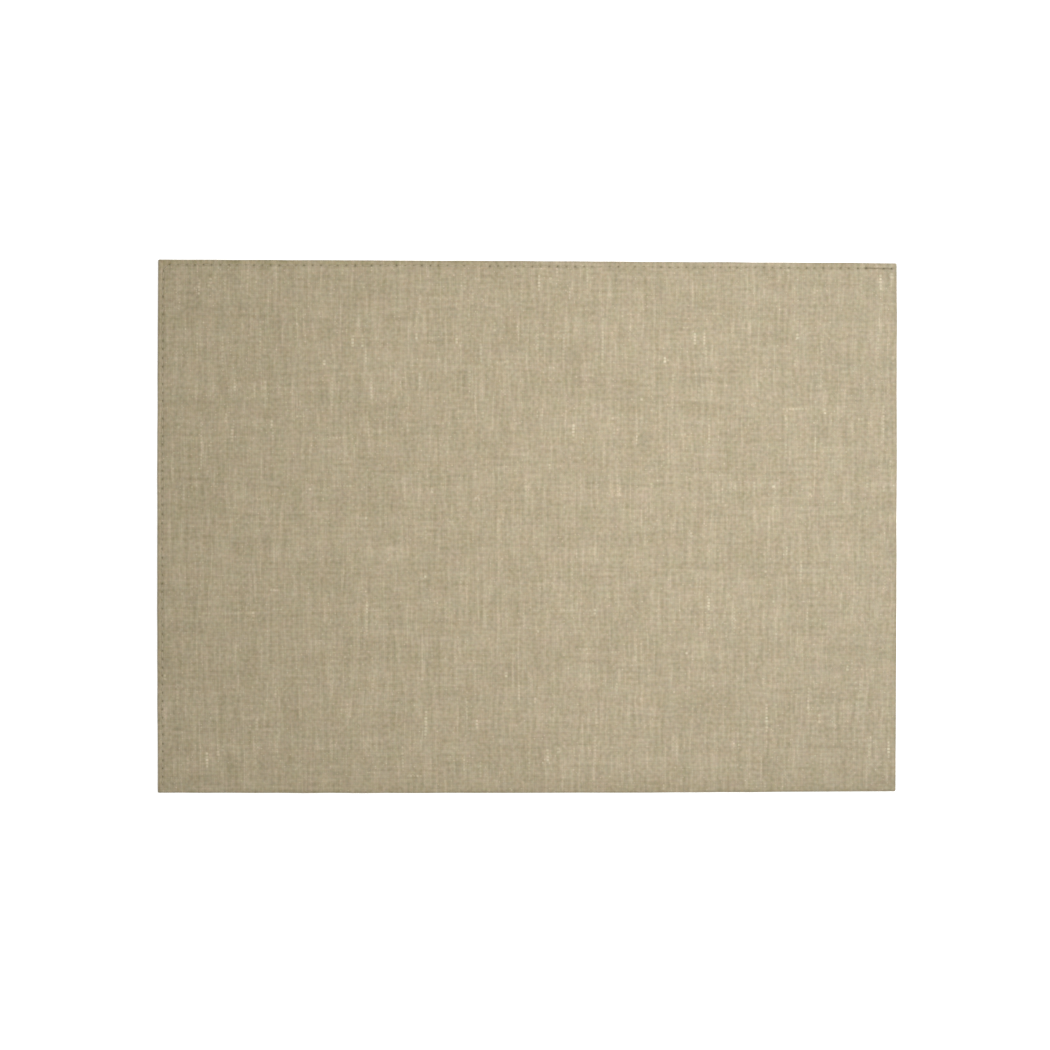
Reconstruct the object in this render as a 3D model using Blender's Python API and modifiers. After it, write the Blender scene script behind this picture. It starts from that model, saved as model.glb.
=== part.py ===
"""A linen placemat lying flat: one doubled cloth, turned in and edge-stitched on its left and far sides.

Units are metres and +Z is up. The underside lies on z = 0 and the origin is the middle of the mat's extent.
+X runs along the long sides to the right, and +Y runs from the near side to the far side.
"""

from collections import namedtuple

import bmesh
import bpy

# Driving sizes: the true rectangle that the mat was cut to, and the cloth's full thickness.
LENGTH = 0.4590
DEPTH = 0.3304
THICKNESS = 0.0018
CORNER_RADIUS = 0.0011

# The seam lies this far in from the edge, and the thread draws the cloth down to this share of its thickness.
SEAM_INSET = 0.0030
SEAM_FULLNESS = 0.72

# Spacing of the grid's lines over the flat middle of the mat.
PANEL_STEP = 0.040

# How far sewing drew each corner off the true rectangle, as (x, y).
CORNER_DRIFT = {
    ("left", "near"): (-0.0001, -0.0004),
    ("right", "near"): (-0.0006, 0.0005),
    ("left", "far"): (0.0001, 0.0006),
    ("right", "far"): (0.0005, -0.0017),
}

# How far the middle of each edge stands out past the straight line between its corners.
EDGE_BOW = {"left": 0.0005, "right": 0.0004, "near": 0.0006, "far": 0.0002}

# A rim's section: at each inset from the edge, the share of the full thickness that the cloth has there.
RimRow = namedtuple("RimRow", "inset fullness")

FOLDED_RIM = (
    RimRow(0.0000, 0.34),
    RimRow(0.0002, 0.62),
    RimRow(0.0006, 0.82),
    RimRow(0.0014, 0.94),
    RimRow(0.0026, 1.00),
)
STITCHED_RIM = (
    RimRow(0.0000, 0.34),
    RimRow(0.0002, 0.64),
    RimRow(0.0006, 0.86),
    RimRow(0.0014, 0.96),
    RimRow(SEAM_INSET - 0.0007, 0.90),
    RimRow(SEAM_INSET, SEAM_FULLNESS),
    RimRow(SEAM_INSET + 0.0007, 0.90),
    RimRow(SEAM_INSET + 0.0020, 0.98),
    RimRow(SEAM_INSET + 0.0036, 1.00),
)

LINEN_COLOUR = (0.36, 0.31, 0.21, 1.0)
LINEN_ROUGHNESS = 0.9


def clear_scene():
    for thing in list(bpy.data.objects):
        bpy.data.objects.remove(thing, do_unlink=True)


def linen_material():
    material = bpy.data.materials.new("natural linen")
    material.use_nodes = True
    shader = material.node_tree.nodes["Principled BSDF"]
    shader.inputs["Base Color"].default_value = LINEN_COLOUR
    shader.inputs["Roughness"].default_value = LINEN_ROUGHNESS
    shader.inputs["Metallic"].default_value = 0.0
    return material


def grid_lines(size, start_rim, end_rim):
    """Positions from 0 to size: the rows of the rim at each end, and even steps over the flat cloth between."""
    starts = [row.inset for row in start_rim]
    ends = [size - row.inset for row in reversed(end_rim)]
    flat = ends[0] - starts[-1]
    steps = round(flat / PANEL_STEP)
    between = [starts[-1] + flat * step / steps for step in range(1, steps)]
    return starts + between + ends


def rim_fullness(rim, inset):
    """The share of the full thickness at this inset, on straight lines between the rim's rows."""
    for outer, inner in zip(rim, rim[1:]):
        if inset <= inner.inset:
            share = (inset - outer.inset) / (inner.inset - outer.inset)
            return outer.fullness + share * (inner.fullness - outer.fullness)
    return 1.0


def fullness(across, along):
    """The seam turns the corner between the two stitched sides, and runs out over the two folded ones."""
    to_stitched = max(0.0, min(across, DEPTH - along))
    to_folded = max(0.0, min(LENGTH - across, along))
    return min(rim_fullness(STITCHED_RIM, to_stitched), rim_fullness(FOLDED_RIM, to_folded))


def rounded(across, along):
    """Draws the square tip of a corner in to its radius: squares about the radius' centre become circles."""
    from_left = across < LENGTH / 2
    from_near = along < DEPTH / 2
    reach_x = CORNER_RADIUS - (across if from_left else LENGTH - across)
    reach_y = CORNER_RADIUS - (along if from_near else DEPTH - along)
    if reach_x <= 0 or reach_y <= 0:
        return across, along
    shrink = max(reach_x, reach_y) / (reach_x**2 + reach_y**2) ** 0.5
    inset_x = CORNER_RADIUS - reach_x * shrink
    inset_y = CORNER_RADIUS - reach_y * shrink
    return (
        inset_x if from_left else LENGTH - inset_x,
        inset_y if from_near else DEPTH - inset_y,
    )


def corner(side, end):
    drift_x, drift_y = CORNER_DRIFT[side, end]
    x = (-LENGTH if side == "left" else LENGTH) / 2 + drift_x
    y = (-DEPTH if end == "near" else DEPTH) / 2 + drift_y
    return x, y


def side_x(side, share):
    """X of the left or right edge, at this share of the way from its near corner to its far one."""
    start, stop = corner(side, "near")[0], corner(side, "far")[0]
    bow = EDGE_BOW[side] * 4 * share * (1 - share)
    return start + share * (stop - start) + (-bow if side == "left" else bow)


def end_y(end, share):
    """Y of the near or far edge, at this share of the way from its left corner to its right one."""
    start, stop = corner("left", end)[1], corner("right", end)[1]
    bow = EDGE_BOW[end] * 4 * share * (1 - share)
    return start + share * (stop - start) + (-bow if end == "near" else bow)


def on_cloth(across, along):
    """The point of the sewn mat for a point of the true rectangle."""
    across, along = rounded(across, along)
    across_share, along_share = across / LENGTH, along / DEPTH
    left, right = side_x("left", along_share), side_x("right", along_share)
    near, far = end_y("near", across_share), end_y("far", across_share)
    return left + across_share * (right - left), near + along_share * (far - near)


def make_mat(name, collection):
    """A flat grid at mid-thickness, given its thickness by Solidify and its rims and seam by the vertex group."""
    columns = grid_lines(LENGTH, STITCHED_RIM, FOLDED_RIM)
    rows = grid_lines(DEPTH, FOLDED_RIM, STITCHED_RIM)
    across_steps, along_steps = len(columns) - 1, len(rows) - 1

    grid = bmesh.new()
    bmesh.ops.create_grid(grid, x_segments=across_steps, y_segments=along_steps, size=1.0)
    weights = []
    for vert in grid.verts:
        column = round((vert.co.x + 1) / 2 * across_steps)
        row = round((vert.co.y + 1) / 2 * along_steps)
        across, along = columns[column], rows[row]
        weights.append(fullness(across, along))
        vert.co = (*on_cloth(across, along), THICKNESS / 2)

    # The origin is the middle of the outline's extent.
    xs = [vert.co.x for vert in grid.verts]
    ys = [vert.co.y for vert in grid.verts]
    middle = ((min(xs) + max(xs)) / 2, (min(ys) + max(ys)) / 2, 0)
    bmesh.ops.translate(grid, verts=grid.verts, vec=[-value for value in middle])

    mesh = bpy.data.meshes.new(name)
    grid.to_mesh(mesh)
    grid.free()
    mesh.materials.append(linen_material())
    mesh.shade_smooth()

    mat = bpy.data.objects.new(name, mesh)
    collection.objects.link(mat)
    group = mat.vertex_groups.new(name="fullness")
    for index, weight in enumerate(weights):
        group.add([index], weight, "REPLACE")

    solidify = mat.modifiers.new("cloth thickness", "SOLIDIFY")
    solidify.thickness = THICKNESS
    solidify.offset = 0.0
    solidify.vertex_group = group.name
    return mat


def main():
    clear_scene()
    collection = bpy.data.collections.new("linen placemat")
    bpy.context.scene.collection.children.link(collection)
    make_mat("linen_mat", collection)


main()
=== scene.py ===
import math

import bpy
import numpy as np
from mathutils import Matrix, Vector


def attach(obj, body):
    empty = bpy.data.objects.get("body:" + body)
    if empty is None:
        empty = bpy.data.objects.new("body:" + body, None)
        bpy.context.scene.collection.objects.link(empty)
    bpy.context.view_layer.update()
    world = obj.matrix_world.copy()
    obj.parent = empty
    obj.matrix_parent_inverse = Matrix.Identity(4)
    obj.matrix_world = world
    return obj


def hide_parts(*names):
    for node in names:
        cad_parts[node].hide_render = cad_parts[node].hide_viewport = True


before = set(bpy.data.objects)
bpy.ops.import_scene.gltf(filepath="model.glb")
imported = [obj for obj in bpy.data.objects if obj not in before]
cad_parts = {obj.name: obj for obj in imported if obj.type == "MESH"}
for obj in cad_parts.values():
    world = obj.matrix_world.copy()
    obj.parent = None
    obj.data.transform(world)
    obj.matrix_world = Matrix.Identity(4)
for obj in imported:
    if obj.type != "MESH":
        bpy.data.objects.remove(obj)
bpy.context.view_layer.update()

# Everything on the mat is worked out in millimetres on the true rectangle that it was cut to: "across" runs
# from its left edge and "along" from its near edge. toMesh() turns millimetres into Blender's metres.
millimetre = 0.001

# The sewn mat, with the sizes of its solid.
mat = {
    "length": 459.0,
    "depth": 330.4,
    "thickness": 1.8,
    "cornerRadius": 0.8,
    "cornerDrift": {                   # how far sewing drew each corner, as (x, y)
        "left near": (-0.1, -0.4),
        "right near": (-0.6, 0.5),
        "left far": (0.1, 0.6),
        "right far": (0.2, -1.7),
    },
    "edgeBow": {"left": 0.5, "right": 0.4, "near": 0.6, "far": 0.2},
    "fold": (2.6, 3.2),                # how far in a plain fold reaches full thickness, and its power
    "turn": (1.9, 3.0),                # and the same for a turned-in edge
    "edgeWander": (0.05, 22, 90, 12),  # of the outline: height, shortest and longest wave, and count of waves
    "turnGroove": 0.25,                # the open edges, turned in, leave a groove between the two plies
    "flatFrom": 9.0,                   # the face's unevenness fades out over this much of the rim
    "swell": (0.05, 35, 110, 9),       # slow unevenness of the face, and a finer one
    "ripple": (0.02, 7, 16, 12),
    "seed": 11,
}

# The seam along the left and far sides
seam = {
    "inset": 3.0,
    "farInset": 3.15,
    "trough": 0.26,                      # share of the half thickness that the thread draws down
    "troughWidth": 1.05,
    "besideTrough": (0.03, 1.9, 1.2),    # a lower band inside the seam: depth, distance and width
    "runOut": ((0.6, 4.2), (0.3, 2.6)),  # the trough sets in over these, from the near and right edges
    # Each row: place of its hole nearest the corner, pitch, count of stitches at that pitch, the pitch after
    # them, and stitches in all
    "left": (323.3, 5.383, 35, 5.211, 60),
    "far": (7.1, 5.222, 35, 5.322, 85),
    "leftDrift": (0.30, 14.0),           # the left row stands further in close to the far corner
    "leftWaver": (0.08, 31.0),           # and wavers by this much, over this length
    "farDrift": 0.28,                    # the far row runs further in towards the right
    "farWaver": (0.07, 37.0),
    "jitter": (0.16, 0.07),              # spread of the holes along their row, and to its sides
    "drawn": (0.86, 0.22, 0.35, 1.15),   # how strongly a hole is drawn in: mean, spread, least and most
    "deepCorner": (296.0, 1.15, 0.88),   # the left row past this place is deeper, and the rest less deep
    "lastHoles": (1.30, 0.40, 1.30, 1.30),  # strength of the far row's last four holes
    "dentDepth": 0.62,
    "dentRadius": 0.54,
    "dotRadius": 1.02,
    "pucker": (0.035, 1.7),              # rise of the cloth between the stitches, and its reach
    "nearReach": 3.2,                    # nothing past this far from the seam's line is drawn in
    "seed": 23,
}


def seeded(number):
    # A generator of random numbers that gives the same ones each run
    return np.random.default_rng(number)


def ease(value, low, high):
    # 0 below low, 1 above high, and 3t^2 - 2t^3 between
    t = np.clip((value - low) / (high - low), 0, 1)
    return t * t * (3 - 2 * t)


def waves(across, along, height, shortest, longest, count, number):
    # Sum of count cosines of seeded directions, lengths and phases, scaled to a spread of about height
    pick = seeded(number)
    total = np.zeros(np.broadcast(across, along).shape)
    for _ in range(count):
        turn, phase = pick.uniform(0, 2 * math.pi, 2)
        step = 2 * math.pi / pick.uniform(shortest, longest)
        total = total + np.cos(step * (across * math.cos(turn) + along * math.sin(turn)) + phase)
    return height * (total / math.sqrt(count / 2))


def rounded(across, along):
    # Within a corner's square of side r, squares about the radius' centre become circles:
    # reach *= max(reachX, reachY) / hypot(reachX, reachY)
    radius = mat["cornerRadius"]
    fromLeft, fromNear = across < mat["length"] / 2, along < mat["depth"] / 2
    reachX = radius - np.where(fromLeft, across, mat["length"] - across)
    reachY = radius - np.where(fromNear, along, mat["depth"] - along)
    inCorner = (reachX > 0) & (reachY > 0)
    shrink = np.maximum(reachX, reachY) / np.maximum(np.hypot(reachX, reachY), 1e-9)
    insetX, insetY = radius - reachX * shrink, radius - reachY * shrink
    across = np.where(inCorner, np.where(fromLeft, insetX, mat["length"] - insetX), across)
    along = np.where(inCorner, np.where(fromNear, insetY, mat["depth"] - insetY), along)
    return across, along


def edgeLine(side, firstCorner, secondCorner, axis, outward, share):
    # The chord between an edge's two drifted corners, plus its bow * 4 s (1 - s)
    half = (mat["length"], mat["depth"])[axis] / 2
    start, stop = mat["cornerDrift"][firstCorner][axis], mat["cornerDrift"][secondCorner][axis]
    return start + share * (stop - start) + outward * (half + mat["edgeBow"][side] * 4 * share * (1 - share))


def onMat(across, along):
    # Each edge of the rectangle goes to its sewn line, and the cloth between by its share of the way over
    across, along = rounded(across, along)
    acrossShare, alongShare = across / mat["length"], along / mat["depth"]
    left = edgeLine("left", "left near", "left far", 0, -1, alongShare)
    right = edgeLine("right", "right near", "right far", 0, 1, alongShare)
    near = edgeLine("near", "left near", "right near", 1, -1, acrossShare)
    far = edgeLine("far", "left far", "right far", 1, 1, acrossShare)
    return left + acrossShare * (right - left), near + alongShare * (far - near)


def findMiddle():
    # Half way between the sewn outline's least and greatest x, and y
    share = np.linspace(0, 1, 400)
    across = np.concatenate([share, share, share * 0, share * 0 + 1]) * mat["length"]
    along = np.concatenate([share * 0, share * 0 + 1, share, share]) * mat["depth"]
    x, y = onMat(across, along)
    return (x.min() + x.max()) / 2, (y.min() + y.max()) / 2


middle = findMiddle()


def toMesh(across, along, height):
    # Rectangle to sewn mat, set about the middle of its outline, in metres
    x, y = onMat(across, along)
    points = np.stack([x - middle[0], y - middle[1], height], axis=-1)
    return points.reshape(-1, 3) * millimetre


def leftSeam(along):
    # Inset of the left row: inset + drift * exp(-toFar / reach) + waver * sin(along / length)
    drift, reach = seam["leftDrift"]
    waver, length = seam["leftWaver"]
    return seam["inset"] + drift * np.exp(-(mat["depth"] - along) / reach) + waver * np.sin(along / length)


def farSeam(across):
    # Inset of the far row: inset + drift * share^2 + waver * sin(across / length)
    waver, length = seam["farWaver"]
    drift = seam["farDrift"] * (across / mat["length"]) ** 2
    return seam["farInset"] + drift + waver * np.sin(across / length)


def stitchRun(row):
    # How far each hole of a row is from its first: one pitch for the early stitches and another after them
    _, pitch, most, latePitch, stitches = seam[row]
    count = np.arange(stitches + 1)
    early = np.minimum(count, most)
    return pitch * early + latePitch * (count - early)


def stitchHoles():
    # One row of needle holes: up the left side from near to far, round the corner, and along the far side
    pick = seeded(seam["seed"])
    jitter, sideJitter = seam["jitter"]
    along = seam["left"][0] - stitchRun("left")[::-1]
    along = along + jitter * pick.standard_normal(len(along))
    leftRow = np.column_stack([leftSeam(along) + sideJitter * pick.standard_normal(len(along)), along])
    across = seam["far"][0] + stitchRun("far")
    across = across + jitter * pick.standard_normal(len(across))
    farInset = farSeam(across) + sideJitter * pick.standard_normal(len(across))
    farRow = np.column_stack([across, mat["depth"] - farInset])
    mean, spread, *limits = seam["drawn"]
    strength = np.clip(mean + spread * pick.standard_normal(len(leftRow) + len(farRow)), *limits)
    cornerFrom, deeper, lessDeep = seam["deepCorner"]
    strength[:len(leftRow)] *= np.where(leftRow[:, 1] > cornerFrom, deeper, lessDeep)
    strength[-4:] = seam["lastHoles"]
    return np.vstack([leftRow, farRow]), strength, len(leftRow)


holes, holeStrength, leftCount = stitchHoles()


def seamOffsets(across, along):
    # Distances inside the left row's line and inside the far row's
    return across - leftSeam(along), mat["depth"] - along - farSeam(across)


def seamOffset(across, along):
    # Distance inside the seam, which turns the far left corner: the lesser of the two
    return np.minimum(*seamOffsets(across, along))


def seamShare(across, along):
    # 1 on the seam's line, falling off on both sides of it and past the ends of the two rows
    offset = seamOffset(across, along)
    nearEnd, rightEnd = seam["runOut"]
    runs = ease(along, *nearEnd) * ease(mat["length"] - across, *rightEnd)
    return np.exp(-(offset / seam["troughWidth"]) ** 2) * runs


def stitchPhase(across, along):
    # Count of stitches along whichever row is nearer, a whole number at each hole
    leftRow, farRow = holes[:leftCount], holes[leftCount:]
    onLeft = np.interp(along, leftRow[:, 1], np.arange(len(leftRow)))
    onFar = np.interp(across, farRow[:, 0], np.arange(len(farRow)))
    toLeft, toFar = seamOffsets(across, along)
    return np.where(toLeft < toFar, onLeft, onFar)


def rolled(inset, reach, power):
    # Section of a rolled edge: (1 - (1 - inset / reach)^power)^0.4
    return (1 - (1 - np.clip(inset / reach, 0, 1)) ** power) ** 0.4


def fullness(across, along):
    # Share of the half thickness: the lower of the two kinds of rolled edge, with the seam as a trough in one
    fold = rolled(np.minimum(mat["length"] - across, along), *mat["fold"])
    turned = rolled(np.minimum(across, mat["depth"] - along), *mat["turn"])
    depth, distance, width = seam["besideTrough"]
    beyond = depth * np.exp(-((seamOffset(across, along) - distance) / width) ** 2)
    return np.minimum(fold, turned * (1 - seam["trough"] * seamShare(across, along)) - beyond)


def toEdge(across, along):
    # Distance to the nearest edge of the rectangle
    return np.minimum(np.minimum(across, mat["length"] - across), np.minimum(along, mat["depth"] - along))


def relief(across, along):
    # Slow swells and short ripples of the face, which fade out at the rim, and puckers between the stitches,
    # rise * cos(2 pi stitches) * exp(-distance / reach)
    fade = ease(toEdge(across, along), 0.5, mat["flatFrom"])
    swell = waves(across, along, *mat["swell"], mat["seed"] + 1)
    ripple = waves(across, along, *mat["ripple"], mat["seed"] + 2)
    rise, reach = seam["pucker"]
    pucker = rise * np.cos(2 * math.pi * stitchPhase(across, along))
    pucker = pucker * np.exp(-np.abs(seamOffset(across, along)) / reach) * ease(along, 1, 6)
    return fade * (swell + ripple) - pucker


def nearHoles(across, along, radius):
    # The largest of strength * exp(-(r / radius)^2) over the needle holes, r being the distance to each
    points = np.column_stack([np.ravel(across), np.ravel(along)])
    toSeam = np.abs(seamOffset(points[:, 0], points[:, 1]))
    close = np.flatnonzero(toSeam < seam["nearReach"])
    share = np.zeros(len(points))
    gap = points[close, None, :] - holes[None, :, :]
    squared = (gap ** 2).sum(axis=2)
    share[close] = (holeStrength * np.exp(-squared / radius ** 2)).max(axis=1)
    return share.reshape(np.shape(across))


def faceHeight(across, along):
    # Height of the face that shows: half the thickness, plus half of it times fullness, with relief and dents
    half = mat["thickness"] / 2
    dents = seam["dentDepth"] * nearHoles(across, along, seam["dentRadius"])
    return half + half * fullness(across, along) + relief(across, along) - dents


# The yarns: one every pitch, wandering a little from straight. The "weave" UV map holds these coordinates,
# so the material and the slubs count the same yarns.
yarns = {
    "pitch": 1.0,
    "sway": (0.22, 30, 90, 8),  # how far they wander in long waves
    "bend": 0.60,               # and in shorter bends, which the material adds
    "bendSize": (3.0, 16.0),    # over yarns and along them
    "seed": 7,
}


def yarnSway(across, along):
    # How far the weave is displaced at a place, as sums of long waves
    swayAcross = waves(across * 0.6, along, *yarns["sway"], yarns["seed"])
    swayAlong = waves(across, along * 0.6, *yarns["sway"], yarns["seed"] + 1)
    return swayAcross, swayAlong


def weavePlace(across, along):
    # The UV of a place: place + sway, in millimetres
    swayAcross, swayAlong = yarnSway(across, along)
    return np.stack([across + swayAcross, along + swayAlong], axis=-1).reshape(-1, 2)


def addObject(name, data):
    # A new object of the scene, at the origin
    thing = bpy.data.objects.new(name, data)
    bpy.context.scene.collection.objects.link(thing)
    return thing


def packed(values):
    # Values in a row, as Blender stores them
    return np.ascontiguousarray(values, dtype=np.float32).ravel()


def addPiece(name, points, faces, uvs, values, material):
    # faces is a list of (count, corners) index arrays, and uvs gives each UV map one row for each face corner
    corners = np.concatenate([face.ravel() for face in faces]).astype(np.int32)
    sizes = np.concatenate([np.full(len(face), face.shape[1]) for face in faces])
    starts = np.append(0, np.cumsum(sizes)[:-1]).astype(np.int32)
    mesh = bpy.data.meshes.new(name)
    mesh.vertices.add(len(points))
    mesh.vertices.foreach_set("co", packed(points))
    mesh.loops.add(len(corners))
    mesh.loops.foreach_set("vertex_index", corners)
    mesh.polygons.add(len(sizes))
    mesh.polygons.foreach_set("loop_start", starts)
    mesh.update(calc_edges=True)
    mesh.polygons.foreach_set("use_smooth", np.ones(len(sizes), dtype=bool))
    for uvName, uv in uvs.items():
        layer = mesh.uv_layers.new(name=uvName)
        layer.uv.foreach_set("vector", packed(uv))
    for valueName, value in values.items():
        store = mesh.attributes.new(valueName, "FLOAT", "POINT")
        store.data.foreach_set("value", packed(value))
    mesh.validate()
    mesh.materials.append(material)
    print(f"{name}: {int((sizes - 2).sum())} triangles")
    return addObject(name, mesh)


def fan(ring, sides, pole, turned=False):
    # Triangles from each ring of points to its pole, in the ring's order or turned over
    ring, pole = np.reshape(ring, (-1, 1)), np.reshape(pole, (-1, 1))
    here, after = ring + np.arange(sides), ring + (np.arange(sides) + 1) % sides
    first, second = (after, here) if turned else (here, after)
    return np.stack([first, second, pole + 0 * here], axis=-1).reshape(-1, 3)


def sleeve(rows, columns, start=0, closed=True):
    # Quads between neighbouring rows of a grid whose rows are rings, or open where closed is False
    across = columns if closed else columns - 1
    row, column = np.meshgrid(np.arange(rows - 1), np.arange(across), indexing="ij")
    after = (column + 1) % columns
    inner, outer = row * columns, (row + 1) * columns
    quads = np.stack([outer + column, outer + after, inner + after, inner + column], axis=-1)
    return quads.reshape(-1, 4) + start


def zipRings(outerPlace, innerPlace):
    # Triangles between two rings whose places both run from 0 to 4 round the mat: each step is taken on
    # the ring whose next point comes first
    outerEnd = np.append(outerPlace[1:], 4.0)
    innerEnd = np.append(innerPlace[1:], 4.0)
    outerCount, innerCount = len(outerPlace), len(innerPlace)
    inner = np.searchsorted(innerEnd, outerEnd, "left") % innerCount
    outer = np.searchsorted(outerEnd, innerEnd, "right") % outerCount
    onOuter, onInner = np.arange(outerCount), np.arange(innerCount)
    first = np.column_stack([onOuter, (onOuter + 1) % outerCount, inner + outerCount])
    second = np.column_stack([(onInner + 1) % innerCount + outerCount, onInner + outerCount, outer])
    return np.vstack([first, second])


class Wire:
    # One socket in a material, on which sums are written as plain Python

    def __init__(self, finish, socket):
        self.finish, self.socket = finish, socket

    def maths(self, operation, *others):
        values = dict(enumerate((self, *others)))
        return self.finish.node("ShaderNodeMath", {"operation": operation}, values)

    def __add__(self, other):
        return self.maths("ADD", other)

    __radd__ = __add__

    def __mul__(self, other):
        return self.maths("MULTIPLY", other)

    __rmul__ = __mul__

    def __sub__(self, other):
        return self.maths("SUBTRACT", other)

    def __rsub__(self, other):
        return self.finish.node("ShaderNodeMath", {"operation": "SUBTRACT"}, {0: other, 1: self})

    def __truediv__(self, other):
        return self.maths("DIVIDE", other)

    def above(self, least):
        # The larger of this and the least
        return self.maths("MAXIMUM", least)

    def clear(self, low, high):
        # 0 below low, 1 above high, smooth between
        settings = {"interpolation_type": "SMOOTHSTEP"}
        return self.finish.node("ShaderNodeMapRange", settings, {0: self, 1: low, 2: high})

    def other(self, name):
        return Wire(self.finish, self.socket.node.outputs[name])


class Finish:
    # One material, with its nodes made by node()

    def __init__(self, name, roughness, sheen):
        self.material = bpy.data.materials.new(name)
        self.material.use_nodes = True
        self.tree = self.material.node_tree
        self.shader = self.tree.nodes["Principled BSDF"]
        self.show("Roughness", roughness)
        self.show("Specular IOR Level", 0.25)
        self.show("Sheen Weight", sheen)
        self.show("Sheen Roughness", 0.5)

    def show(self, name, value):
        # One input of the surface
        self.feed(self.shader.inputs[name], value)

    def feed(self, socket, value):
        if isinstance(value, Wire):
            self.tree.links.new(value.socket, socket)
        else:
            socket.default_value = value

    def node(self, kind, settings, values, output=0):
        # Any node, from its settings and its inputs by number or name
        made = self.tree.nodes.new(kind)
        for key, value in settings.items():
            setattr(made, key, value)
        for key, value in values.items():
            self.feed(made.inputs[key], value)
        return Wire(self, made.outputs[output])

    def texture(self, kind, x, y, values):
        # A texture of two numbers, less a half
        vector = self.node("ShaderNodeCombineXYZ", {}, {"X": x, "Y": y})
        return self.node(kind, {"noise_dimensions": "2D"}, {"Vector": vector, **values}) - 0.5

    def noise(self, x, y, detail=0.0):
        # Soft noise about 0, one unit from bump to bump, with a spread of about 0.25
        return self.texture("ShaderNodeTexNoise", x, y, {"Scale": 1.0, "Detail": detail}) * 2.0

    def grain(self, x, y):
        # A separate value from -0.5 to 0.5 for each pair of numbers
        return self.texture("ShaderNodeTexWhiteNoise", x, y, {})

    def stored(self, name):
        # A value stored on the mesh
        return self.node("ShaderNodeAttribute", {"attribute_name": name}, {}, "Fac")

    def weave(self):
        # The two coordinates of the "weave" UV map
        place = self.node("ShaderNodeUVMap", {"uv_map": "weave"}, {})
        split = self.node("ShaderNodeSeparateXYZ", {}, {0: place})
        return split, split.other("Y")

    def blend(self, share, first, second):
        # The first colour at 0, the second at 1, and on past them
        settings = {"data_type": "RGBA", "clamp_factor": False}
        return self.node("ShaderNodeMix", settings, {0: share, 6: first, 7: second}, 2)

    def tinted(self, colour, amount, yellow=0.0):
        # A colour times (amount, amount, 1.25 amount - 0.25 - yellow): lighter fibres are also less yellow
        blue = 1.25 * amount - 0.25 - yellow
        share = self.node("ShaderNodeCombineXYZ", {}, {"X": amount, "Y": amount, "Z": blue})
        return self.node("ShaderNodeVectorMath", {"operation": "MULTIPLY"}, {0: colour, 1: share})

    def emboss(self, height):
        # Bump from a height in millimetres
        bump = self.node("ShaderNodeBump", {}, {"Height": height, "Distance": millimetre})
        self.show("Normal", bump)


# The linen: natural plain weave of uneven yarns. Amounts are shares of the cloth's lightness.
linen = {
    "pink": (0.324, 0.257, 0.173, 1.0),   # warm patches, where the darker fibres show
    "green": (0.294, 0.265, 0.171, 1.0),  # greyer, greener ones
    "roundness": 1.5,                     # how fast a yarn's surface falls away from its middle
    "wave": 0.9,                          # how far it rises and sinks, over and under its neighbours
    "gap": 0.08,                          # painted shade between the yarns
    "fibre": 0.11,
    "nep": 0.38,                          # light specks of knotted fibre
    "slub": 0.51,
    # Noise drawn out along a yarn: amount, fineness over the yarns, length, and a stretch's least value
    "warpStreak": (0.164, 0.46, 34.0),
    "weftStreak": (0.122, 0.46, 40.0),
    "warpStretch": (0.33, 0.55, 20.0, 0.20),  # stretches of single yarns that are lighter
    "weftStretch": (0.15, 0.62, 13.0, 0.26),
    # Noise over the cloth: amount, size across and along, what is added to each to set it apart, and detail
    "mottle": (0.148, 2.25, 2.25, 11.0, 0.0, 0.0),
    "patch": (0.056, 9.0, 11.0, 15.0, 8.0, 1.0),
    "warpBand": (0.060, 13.0, 80.0, 5.0, 0.0, 1.0),  # groups of yarns that are lighter or darker together
    "weftBand": (0.046, 80.0, 13.0, 5.0, 9.0, 1.0),
    "hueGrain": (0.49, 1.6, 1.6, 70.0, 0.0, 0.0),
    "huePatch": (0.28, 9.0, 10.0, 70.0, 0.0, 0.0),
    "yellowGrain": (0.070, 1.7, 1.7, 30.0, 60.0, 0.0),
    "yellowPatch": (0.04, 9.0, 9.0, 35.0, 65.0, 0.0),
    # How much darker: painted shade at a needle's hole and on the rolled rim, a darker tone outside the seam
    "shades": {"needle": 0.20, "rim": 0.07, "band": 0.055},
    "nearShade": 0.050,                   # and painted shade over its last stretch before the near side
    "nearShadeRight": 0.060,
    "nearStretch": (-2.0, 20.0),
    "greenShare": 0.47,
    "greenRight": (0.20, 0.55),           # greener to the right of this share of the mat
    "greenSlub": 0.35,
    "hueRange": (-0.6, 1.6),
    # a painted warm tint of the light, growing towards the left
    "paintedWarmLightLeft": 0.055,
    "yellowBand": 0.04,
    "yarnHeight": 0.12,
    "roughness": 0.86,
    "sheen": 0.12,
}


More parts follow.
